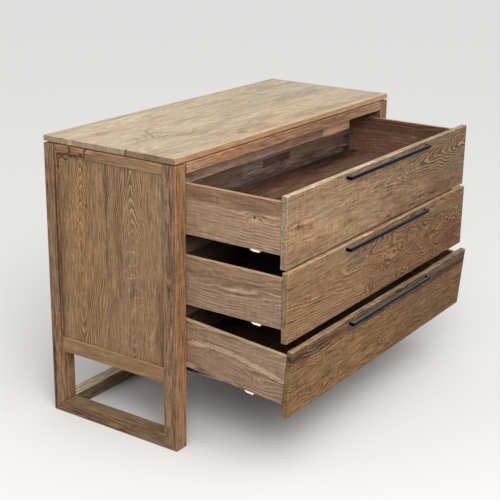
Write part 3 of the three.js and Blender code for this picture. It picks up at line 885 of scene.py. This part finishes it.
class CHEST_OT_cross_rails(ChestOperator):
    """Rails along the front and back"""

    bl_idname = "chest.cross_rails"
    bl_label = "Cross rails"

    def make(self, sizes):
        crack = ((-0.551, 0.026), (-0.555, 0.018), (-0.549, 0.012), (-0.554, 0.003))
        # Painted light: the edge tint of 1.8 lightens the rails' upper and lower faces, and with them the shade in
        # the gap under the top
        material = teak(
            "Cross rail teak", "cross", taper=0.02, pith=0.06, spread=0.06, swirl=0.006, lines=0.5,
            streaks=0.8, fleck=0.5, tint=0.1, weather=0.2, edge=(1.8, 1.8, 1.8),
            ovals=(
                (-0.3, 0.014, 0.2, 0.016, (1.12, 0.98, 0.84)), (0.2, 0.02, 0.25, 0.012, (0.82, 0.78, 0.76)),
            ),
            strokes=(((crack,), 0.002, (0.2, 0.13, 0.1)),), **ONE_BOARD,
        )
        for node in ("front_top_rail", "rear_top_rail", "rear_bottom_rail"):
            dress(node, "wood", material, "x", "y", **wood_easing(sizes, sizes.arris / 2))


class CHEST_OT_side_panels(ChestOperator):
    """Side panels of upright boards"""

    bl_idname = "chest.side_panels"
    bl_label = "Side panels"

    def make(self, sizes):
        material = teak(
            "Panel teak", "panel", strip=0.212, block=3.0, glue=0.35, ring=0.0072, taper=-0.03, pith=0.01,
            spread=0.05, swirl=0.009, swirl_size=0.09, lines=1.3, patchy=0.7, streaks=0.55, fleck=0.7,
            tint=0.08, weather=0.2,
            swirls=(
                (0.226, 0.362, 0.03, 0.02, 0.02), (-0.08, 0.1, 0.22, 0.12, -0.075),
                (0.03, 0.32, 0.2, 0.09, -0.06),
            ),
            knots=((0.146, 0.289, 0.004),),
            slips=((-0.28, 0.2, 0.22, 0.3, (0.96, 0.94, 0.92)),),
            ovals=(
                (0.25, 0.211, 0.09, 0.012, (0.52, 0.56, 0.58)),
                (0.06, 0.212, 0.12, 0.006, (0.66, 0.66, 0.68)), (0.1, 0.17, 0.25, 0.02, (0.8, 0.72, 0.66)),
                (-0.02, 0.388, 0.5, 0.02, (0.8, 0.76, 0.72)), (-0.2, 0.012, 0.25, 0.03, (0.66, 0.58, 0.52)),
                (-0.15, 0.36, 0.13, 0.035, (1.1, 1.18, 1.25)), (0.12, 0.3, 0.15, 0.05, (1.1, 1.05, 0.95)),
                (0.0, 0.135, 0.2, 0.03, (0.92, 0.95, 1.0)),
            ),
            strokes=(
                ((PANEL_CRACK,), 0.0026, (0.28, 0.2, 0.16)), (PANEL_FIGURE, 0.0022, (1.45, 1.45, 1.4), 0.75),
            ),
        )
        for node in by_side("side_panel_{side}"):
            dress(node, "boards", material, "z", "x", arris=sizes.steel_arris)


class CHEST_OT_back_panel(ChestOperator):
    """Back of thin boards, held in grooves"""

    bl_idname = "chest.back_panel"
    bl_label = "Back panel"

    def make(self, sizes):
        material = teak(
            "Back teak", "back", strip=0.118, block=0.9, finger=0.01, glue=0.4, ring=0.006, taper=0.05,
            pith=0.08, spread=0.08, swirl=0.006, lines=0.45, streaks=0.75, tint=0.25, weather=0.2,
        )
        dress("back_panel", "boards", material, "x", "y", arris=sizes.steel_arris)


class CHEST_OT_bearers(ChestOperator):
    """Bearers that carry the runners"""

    bl_idname = "chest.bearers"
    bl_label = "Bearers"

    def make(self, sizes):
        recipe = {**ONE_BOARD, "strip": 0.3, "strip_start": 0.1}
        material = teak("Bearer teak", "back", taper=0.02, lines=0.4, streaks=0.75, weather=0.1, **recipe)
        for number in DRAWERS:
            for node in by_side(f"runner_bearer_{number}_{{side}}"):
                dress(node, "wood", material, "y", "z", arris=sizes.box_arris)


def zinc_plate():
    return plain(
        "Zinc plate", "steel", 0.36, grain_size=0.0009, mottle=0.1, metallic=1.0, stretch=(0.04, 1, 1),
    )


class CHEST_OT_runners(ChestOperator):
    """Plated channels and the rails that slide in them"""

    bl_idname = "chest.runners"
    bl_label = "Runners"

    def make(self, sizes):
        material = zinc_plate()
        easing = {"arris": sizes.steel_arris, "everywhere": True, "segments": 1}
        for number in DRAWERS:
            for kind in ("cabinet_rail_{n}_{{side}}", "drawer_{n}_rail_{{side}}"):
                for node in by_side(kind.format(n=number)):
                    dress(node, "plated", material, "y", "z", **easing)


class CHEST_OT_drawer_fronts(ChestOperator):
    """Drawer fronts: sweeping grain on the first, curls on the second, a rough strip on the third"""

    bl_idname = "chest.drawer_fronts"
    bl_label = "Drawer fronts"

    def make(self, sizes):
        shared = {
            "strip": 0.5, "strip_start": 0.123, "block": 5.0, "glue": 0.0, "fleck": 1.3, "streaks": 0.42,
            # The edge tint is a painted highlight on the fronts' upper and lower edges, standing in for light from
            # above
            "tint": 0.0, "spread": 0.0, "weather": 0.4, "edge": (1.88, 2.26, 2.64), "edge_lines": 0.1,
            # Inner is painted shade on the fronts' inner faces, which darkens the gaps between the drawers
            "end": (0.89, 1.05, 1.16), "inner": (1.0, (0.6, 0.52, 0.5)), "sheen": 0.06,
        }
        sweeping = {
            "strip_start": 0.122, "ring": 0.0063, "taper": 0.12, "slope": 0.04, "pith": 0.02, "swirl": 0.014,
            "swirl_size": 0.16, "lines": 1.5, "patchy": 0.4, "fleck": 1.5,
            "swirls": ((-0.15, 0.13, 0.15, 0.06, 0.02),),
            "knots": ((-0.497, 0.1085, 0.006), (0.018, 0.0135, 0.008)),
            "slips": ((0.28, 0.05, 0.33, 0.056, (0.95, 0.92, 0.9)),),
            "ovals": (
                # The first oval is painted shade, darkening the front towards its right end
                (0.36, 0.1, 0.42, 0.2, (0.68, 0.65, 0.62)), (-0.4, 0.08, 0.25, 0.05, (1.1, 1.08, 1.02)),
                (0.18, 0.066, 0.11, 0.03, (1.25, 1.3, 1.3)), (0.45, 0.085, 0.11, 0.035, (0.92, 1.02, 1.08)),
                (-0.49, 0.103, 0.02, 0.008, (0.6, 0.52, 0.45)), (-0.4, 0.112, 0.15, 0.006, (1.2, 1.22, 1.22)),
                (-0.45, 0.025, 0.15, 0.03, (0.88, 0.8, 0.76)), (0.4, 0.03, 0.12, 0.02, (0.85, 0.76, 0.7)),
            ),
            "quiet": ((0.0, 0.03, 0.8, 0.065), (-0.5, 0.12, 0.25, 0.15)),
            "calm": (-0.1, 0.25, 0.35, 0.5, 0.1),
        }
        curly = {
            "ring": 0.006, "taper": 0.06, "pith": 0.05, "swirl": 0.036, "swirl_size": 0.1, "lines": 1.9,
            "patchy": 0.3,
            "swirls": ((-0.091, 0.075, 0.045, 0.045, 0.045), (0.464, 0.177, 0.05, 0.03, 0.04)),
            "knots": ((-0.135, 0.156, 0.008), (0.49, 0.055, 0.006)),
            "slips": ((0.24, 0.048, 0.36, 0.056, (0.92, 0.86, 0.82)),),
            "ovals": (
                # The first oval is painted shade, darkening the front towards its right end
                (0.32, 0.08, 0.42, 0.2, (0.76, 0.71, 0.66)), (-0.17, 0.145, 0.06, 0.035, (0.75, 0.85, 0.92)),
                (0.44, 0.15, 0.15, 0.035, (1.0, 1.1, 1.08)), (0.46, 0.055, 0.1, 0.035, (0.72, 0.6, 0.55)),
                (0.283, 0.03, 0.025, 0.02, (1.15, 1.2, 1.15)),
            ),
            "quiet": ((-0.42, 0.16, 0.3, 0.07),),
            "calm": (-0.2, 0.1, 0.6, 0.2),
        }
        striped = {
            "strip_start": 0.0, "ring": 0.0066, "taper": 0.045, "pith": 0.05, "swirl": 0.017,
            "swirl_size": 0.12, "lines": 1.5, "patchy": 0.6, "streaks": 0.62, "fleck": 1.5, "weather": 0.2,
            "swirls": ((-0.35, 0.06, 0.03, 0.02, 0.03),),
            "knots": ((-0.038, 0.067, 0.006),),
            "slips": ((0.0, 0.1945, 0.6, 0.04, (0.63, 0.66, 0.78), -0.008),),
            "ovals": (
                (-0.52, 0.176, 0.06, 0.012, (0.5, 0.42, 0.42)), (-0.37, 0.178, 0.07, 0.011, (0.6, 0.5, 0.48)),
                (0.4, 0.166, 0.16, 0.014, (0.6, 0.54, 0.5)), (-0.2, 0.19, 0.04, 0.01, (1.5, 1.6, 1.6)),
                # The first oval here is painted shade, darkening the front towards its right end
                (0.3, 0.06, 0.4, 0.2, (0.78, 0.76, 0.74)), (0.45, 0.118, 0.11, 0.03, (1.15, 1.15, 1.1)),
                (0.38, 0.058, 0.06, 0.02, (0.8, 0.7, 0.66)),
            ),
            "strokes": (((((-0.6, 0.1592), (0.6, 0.1497)),), 0.0011, (0.5, 0.42, 0.38), 0.7),),
        }
        easing = {**wood_easing(sizes, sizes.front_arris), "wear": sizes.front_wear}
        figures = {"Sweeping": sweeping, "Curly": curly, "Striped": striped}
        for number, (figure, own) in zip(DRAWERS, figures.items()):
            material = teak(f"{figure} front teak", f"front_{number}", **{**shared, **own})
            dress(f"drawer_{number}_front", "board", material, "x", "y", seed=number * 7.3, **easing)


class CHEST_OT_drawer_sides(ChestOperator):
    """Drawer sides of two boards glued edge to edge"""

    bl_idname = "chest.drawer_sides"
    bl_label = "Drawer sides"

    def make(self, sizes):
        recipe = {
            "strip": 0.102, "block": 30.0, "glue": 0.6, "ring": 0.007, "taper": 0.04, "pith": 0.05,
            "spread": 0.22, "swirl": 0.008, "lines": 0.85, "patchy": 0.6, "streaks": 0.42, "fleck": 0.8,
            # The edge tint is a painted highlight on the sides' upper and lower edges, standing in for light from
            # above
            "tint": 0.1, "weather": 0.25, "edge": (2.3, 2.4, 2.45), "edge_lines": 0.2,
        }
        marks = {
            1: {
                "shade": (1.1, 1.08, 1.08), "knots": ((-0.132, 0.089, 0.006),),
                "slips": ((0.0, 0.152, 0.4, 0.0495, (0.68, 0.63, 0.62)),),
            },
            2: {
                "shade": (0.91, 0.93, 0.91), "swirls": ((-0.05, 0.1, 0.16, 0.03, 0.02),),
                "ovals": ((-0.02, 0.1, 0.16, 0.018, (0.84, 0.8, 0.77)),),
            },
            3: {
                "shade": (0.89, 0.94, 0.92), "swirls": ((-0.13, 0.035, 0.06, 0.03, 0.016),),
                "strokes": (
                    ((SAP_STREAK,), 0.0125, (0.5, 0.44, 0.42)), ((SAP_STREAK,), 0.0092, (3.0, 3.6, 3.9)),
                ),
            },
        }
        easing = wood_easing(sizes, sizes.box_arris)
        for number in DRAWERS:
            for side, way in zip(SIDES, (1.0, -1.0)):
                # Painted shade on the inner face of each side
                inner = (way, (0.64, 0.56, 0.54))
                material = teak(
                    f"Drawer {number} {side} side teak", "side", inner=inner, **marks[number], **recipe,
                )
                dress(f"drawer_{number}_side_{side}", "board", material, "y", "x", **easing)


class CHEST_OT_drawer_insides(ChestOperator):
    """Backs of finger-jointed strips, and bottoms of dark boards, with painted light high on the backs and painted
    shade low in them, along the bottoms' back edges and all through the two lower drawers
    """

    bl_idname = "chest.drawer_insides"
    bl_label = "Drawer insides"

    def make(self, sizes):
        # The insides of the two lower drawers take 0.6 of the top drawer's tones: painted shade, on the same
        # boards
        for number, shade in zip(DRAWERS, (1.0, 0.6, 0.6)):
            self.make_back(number, (shade,) * 3, sizes)
            self.make_bottom(number, (shade,) * 3, sizes)

    def make_back(self, number, shade, sizes):
        material = teak(
            f"Drawer {number} back teak", "inside", shade, strip=0.048, block=0.21, finger=0.01, glue=0.4,
            ring=0.006, taper=0.04, pith=0.06, spread=0.05, swirl=0.005, lines=0.35, streaks=0.38, tint=0.35,
            weather=0.1,
            slips=(
                # The first slip is painted light on the back's upper strip, where the top and its rail shade it
                (0.0, 0.125, 0.6, 0.03, (3.2, 3.15, 3.1)), (0.45, 0.1075, 0.096, 0.0165, (2.2, 2.3, 1.9)),
                (0.068, 0.073, 0.083, 0.014, (0.42, 0.4, 0.42)),
                (0.42, 0.067, 0.11, 0.0155, (0.75, 0.72, 0.7)),
            ),
            # Both ovals are painted shade: the first along the foot of the back, the second in its lower right
            # corner
            ovals=((0.1, 0.0, 0.9, 0.065, (0.4, 0.39, 0.43)), (0.55, 0.045, 0.06, 0.07, (0.25, 0.3, 0.4))),
        )
        dress(f"drawer_{number}_back", "strips", material, "x", "y", **wood_easing(sizes, sizes.box_arris))

    def make_bottom(self, number, shade, sizes):
        material = teak(
            f"Drawer {number} bottom teak", "bottom", shade, strip=0.11, block=0.7, glue=0.45,
            ring=0.007, taper=0.04, pith=0.07, spread=0.07, swirl=0.006, lines=0.4, streaks=0.7, tint=0.3,
            weather=0.15, sheen=0.4,
            ovals=(
                # The first three ovals are painted shade along the back edge of the bottom, where it meets the
                # back
                (0.1, 0.4, 0.45, 0.05, (0.5, 0.48, 0.52)), (0.38, 0.395, 0.22, 0.035, (0.25, 0.33, 0.48)),
                (-0.2, 0.37, 0.1, 0.025, (0.5, 0.5, 0.52)), (-0.08, 0.325, 0.07, 0.01, (1.5, 1.5, 1.45)),
                (0.0, 0.02, 0.5, 0.03, (0.6, 0.55, 0.55)),
            ),
        )
        dress(f"drawer_{number}_bottom", "boards", material, "x", "z", arris=sizes.steel_arris)


HANDLE_LEG = 0.008
SCREW_SIDES = 24
SCREW_PROFILE = (
    (1.0, 0.0), (1.0, 0.22), (0.92, 0.36), (0.76, 0.45), (0.6, 0.5), (0.45, 0.52), (0.3, 0.53), (0.14, 0.535),
)
CROSS_REACH, CROSS_HALF_WIDTH, CROSS_DEPTH = 0.7, 0.12, 0.28


def pan_head(bm, centre, radius):
    """A domed screw head that looks along +y, with a cross recess."""
    rings = []
    for share, height in SCREW_PROFILE:
        ring = []
        for i in range(SCREW_SIDES):
            angle = 2 * math.pi * i / SCREW_SIDES
            across, up = share * math.cos(angle), share * math.sin(angle)
            in_cross = share < CROSS_REACH and min(abs(across), abs(up)) < CROSS_HALF_WIDTH
            lift = height - CROSS_DEPTH if in_cross else height
            ring.append(bm.verts.new(centre + radius * Vector((across, lift, up))))
        rings.append(ring)
    for ring, inner in zip(rings, rings[1:]):
        for i in range(SCREW_SIDES):
            j = (i + 1) % SCREW_SIDES
            bm.faces.new((ring[i], inner[i], inner[j], ring[j])).smooth = True
    hub = bm.verts.new(centre + radius * Vector((0.0, SCREW_PROFILE[-1][1] - CROSS_DEPTH, 0.0)))
    for i in range(SCREW_SIDES):
        bm.faces.new((rings[-1][i], hub, rings[-1][(i + 1) % SCREW_SIDES]))
    bm.faces.new(rings[0])
    bmesh.ops.recalc_face_normals(bm, faces=bm.faces)


class CHEST_OT_handles(ChestOperator):
    """Black steel bar handles"""

    bl_idname = "chest.handles"
    bl_label = "Handles"

    def make(self, sizes):
        # The handles' upper faces carry a painted highlight
        material = plain(
            "Black coat", "handle", 0.3, grain_size=0.0005, mottle=0.15, gloss=0.03, highlight="handle_top",
        )
        easing = {"arris": sizes.handle_arris, "everywhere": True, "segments": 3}
        for number in DRAWERS:
            dress(f"drawer_{number}_handle", "bar", material, "x", "z", **easing)
            self.drive_screws(number, sizes)

    def drive_screws(self, number, sizes):
        """Heads of the screws that hold a handle, on the inside of its front."""
        plating = bpy.data.materials.get("Zinc plate") or zinc_plate()
        handle, front = f"drawer_{number}_handle", f"drawer_{number}_front"
        (low, high), inside = levelled_box(handle), levelled_box(front)[1].y
        bm = bmesh.new()
        for x in (low.x + HANDLE_LEG / 2, high.x - HANDLE_LEG / 2):
            pan_head(bm, Vector((x, inside, (low.z + high.z) / 2)), sizes.screw_head / 2)
        screws = finished(bm, set(), f"{handle}_screws", front, "x", "y", number)
        screws.data.materials.append(plating)
        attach(screws, NODE_BODY[handle])


# A clip and its grip grooves seen from the side, in shares of its length and height
CLIP_BODY = ((0.0, 1.0), (1.0, 1.0), (1.0, 0.4), (0.78, 0.4), (0.74, 0.0))
CLIP_GROOVE = ((0.07, 0.0), (0.05, 0.16), (0.02, 0.16), (0.0, 0.0))
CLIP_GROOVE_STARTS = (0.56, 0.46, 0.36, 0.26)


class CHEST_OT_catches(ChestOperator):
    """White plastic catches under the drawer sides"""

    bl_idname = "chest.catches"
    bl_label = "Catches"

    def make(self, sizes):
        material = plain("White plastic", "plastic", 0.45, grain_size=0.0008, mottle=0.05)
        for number in DRAWERS:
            for node in by_side(f"drawer_{number}_catch_{{side}}"):
                clip = self.mould(node, sizes)
                clip.data.materials.append(material)
                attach(clip, NODE_BODY[node])
                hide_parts(node)

    def mould(self, node, sizes):
        """A clip with a thinner tongue at its back and grip grooves underneath."""
        low, high = levelled_box(node)
        long, tall = high.y - low.y, high.z - low.z
        grooves = [(start + y, z) for start in CLIP_GROOVE_STARTS for y, z in CLIP_GROOVE]
        outline = (*CLIP_BODY, *grooves, (0.0, 0.0))
        bm = bmesh.new()
        near = [bm.verts.new((low.x, low.y + y * long, low.z + z * tall)) for y, z in outline]
        swept = bmesh.ops.extrude_face_region(bm, geom=[bm.faces.new(near)])["geom"]
        for vert in (v for v in swept if isinstance(v, bmesh.types.BMVert)):
            vert.co.x = high.x
        bmesh.ops.recalc_face_normals(bm, faces=bm.faces)
        arrises = [e for e in bm.edges if e.calc_face_angle_signed(0.0) > SHARP_TURN]
        ease_edges(bm, arrises, sizes.steel_arris, 1, clamp=True)
        return finished(bm, set(), f"{node}_clip", node, "y", "z", 0.5)


# The key light's place is from the chest's middle, in metres, and the top light's spread is in degrees
FLOOR_REACH, FLOOR_GAP = 40.0, 0.0005
KEY_PLACE, KEY_SIDE = (-3.0, -2.5, 2.4), 2.0
TOP_AIM, TOP_SPREAD = (0.35, 0.5, -1.0), 70


class CHEST_OT_stage(ChestOperator):
    """Pale floor, soft lights and the camera"""

    bl_idname = "chest.stage"
    bl_label = "Stage"

    def make(self, sizes):
        scene = bpy.context.scene
        stage, colours = scene.chest_stage, scene.chest_colours
        scene.view_settings.view_transform = "Standard"
        self.make_floor(colours)
        place = Vector(KEY_PLACE)
        square = {"shape": "SQUARE", "size": KEY_SIDE}
        key = self.make_light("Key light", "AREA", -place, stage.key_power, **square)
        key.location = (cad_low + cad_high) / 2 + place
        self.make_light("Top light", "SUN", TOP_AIM, stage.top_strength, angle=math.radians(TOP_SPREAD))
        world = bpy.data.worlds.new("Soft sky")
        world.use_nodes = True
        background = world.node_tree.nodes["Background"]
        background.inputs["Color"].default_value = (*colours.sky, 1.0)
        background.inputs["Strength"].default_value = stage.sky_strength
        scene.world = world
        scene.camera = self.make_camera(stage)

    def make_floor(self, colours):
        corners = ((-1, -1), (1, -1), (1, 1), (-1, 1))
        height = cad_low.z - FLOOR_GAP
        mesh = bpy.data.meshes.new("floor")
        mesh.from_pydata([(x * FLOOR_REACH, y * FLOOR_REACH, height) for x, y in corners], [], [(0, 1, 2, 3)])
        floor = add_object("floor", mesh)
        material = bpy.data.materials.new("Pale floor")
        material.use_nodes = True
        shader = material.node_tree.nodes["Principled BSDF"]
        shader.inputs["Base Color"].default_value = (*colours.floor, 1.0)
        shader.inputs["Roughness"].default_value = 0.75
        shader.inputs["Specular IOR Level"].default_value = 0.2
        mesh.materials.append(material)

    def make_light(self, name, kind, aim, energy, **settings):
        lamp = bpy.data.lights.new(name, kind)
        lamp.energy = energy
        for key, value in settings.items():
            setattr(lamp, key, value)
        light = add_object(name, lamp)
        light.rotation_euler = Vector(aim).to_track_quat("-Z", "Y").to_euler()
        return light

    def make_camera(self, stage):
        lens = bpy.data.cameras.new("Camera")
        lens.sensor_width = 36.0
        lens.lens = lens.sensor_width * stage.focal_share
        level_ahead = Vector((-math.sin(stage.azimuth), math.cos(stage.azimuth), 0.0))
        ahead = level_ahead * math.cos(stage.elevation) - Vector((0.0, 0.0, math.sin(stage.elevation)))
        right = ahead.cross(Vector((0.0, 0.0, 1.0))).normalized()
        up = right.cross(ahead)
        turn = Matrix((right, up, -ahead)).transposed() @ Matrix.Rotation(stage.roll, 3, "Z")
        camera = add_object("Camera", lens)
        camera.matrix_world = Matrix.Translation(stage.camera_place) @ turn.to_4x4()
        return camera


OPERATORS = (
    CHEST_OT_top, CHEST_OT_posts, CHEST_OT_side_rails, CHEST_OT_foot_rails, CHEST_OT_cross_rails,
    CHEST_OT_side_panels, CHEST_OT_back_panel, CHEST_OT_bearers, CHEST_OT_runners, CHEST_OT_drawer_fronts,
    CHEST_OT_drawer_sides, CHEST_OT_drawer_insides, CHEST_OT_handles, CHEST_OT_catches, CHEST_OT_stage,
)


class CHEST_PT_pieces(bpy.types.Panel):
    """Lists the chest's pieces and its stage"""

    bl_idname = "CHEST_PT_pieces"
    bl_label = "Teak chest"
    bl_space_type = "VIEW_3D"
    bl_region_type = "UI"
    bl_category = "Chest"

    def draw(self, context):
        for operator in OPERATORS:
            self.layout.operator(operator.bl_idname)


CLASSES = (ChestSizes, ChestColours, ChestStage, *OPERATORS, CHEST_PT_pieces)


def register():
    for cls in CLASSES:
        bpy.utils.register_class(cls)
    bpy.types.Scene.chest_sizes = PointerProperty(type=ChestSizes)
    bpy.types.Scene.chest_colours = PointerProperty(type=ChestColours)
    bpy.types.Scene.chest_stage = PointerProperty(type=ChestStage)


def unregister():
    del bpy.types.Scene.chest_stage
    del bpy.types.Scene.chest_colours
    del bpy.types.Scene.chest_sizes
    for cls in reversed(CLASSES):
        bpy.utils.unregister_class(cls)


def main():
    register()
    for operator in OPERATORS:
        group, name = operator.bl_idname.split(".")
        getattr(getattr(bpy.ops, group), name)()


if __name__ == "__main__":
    main()
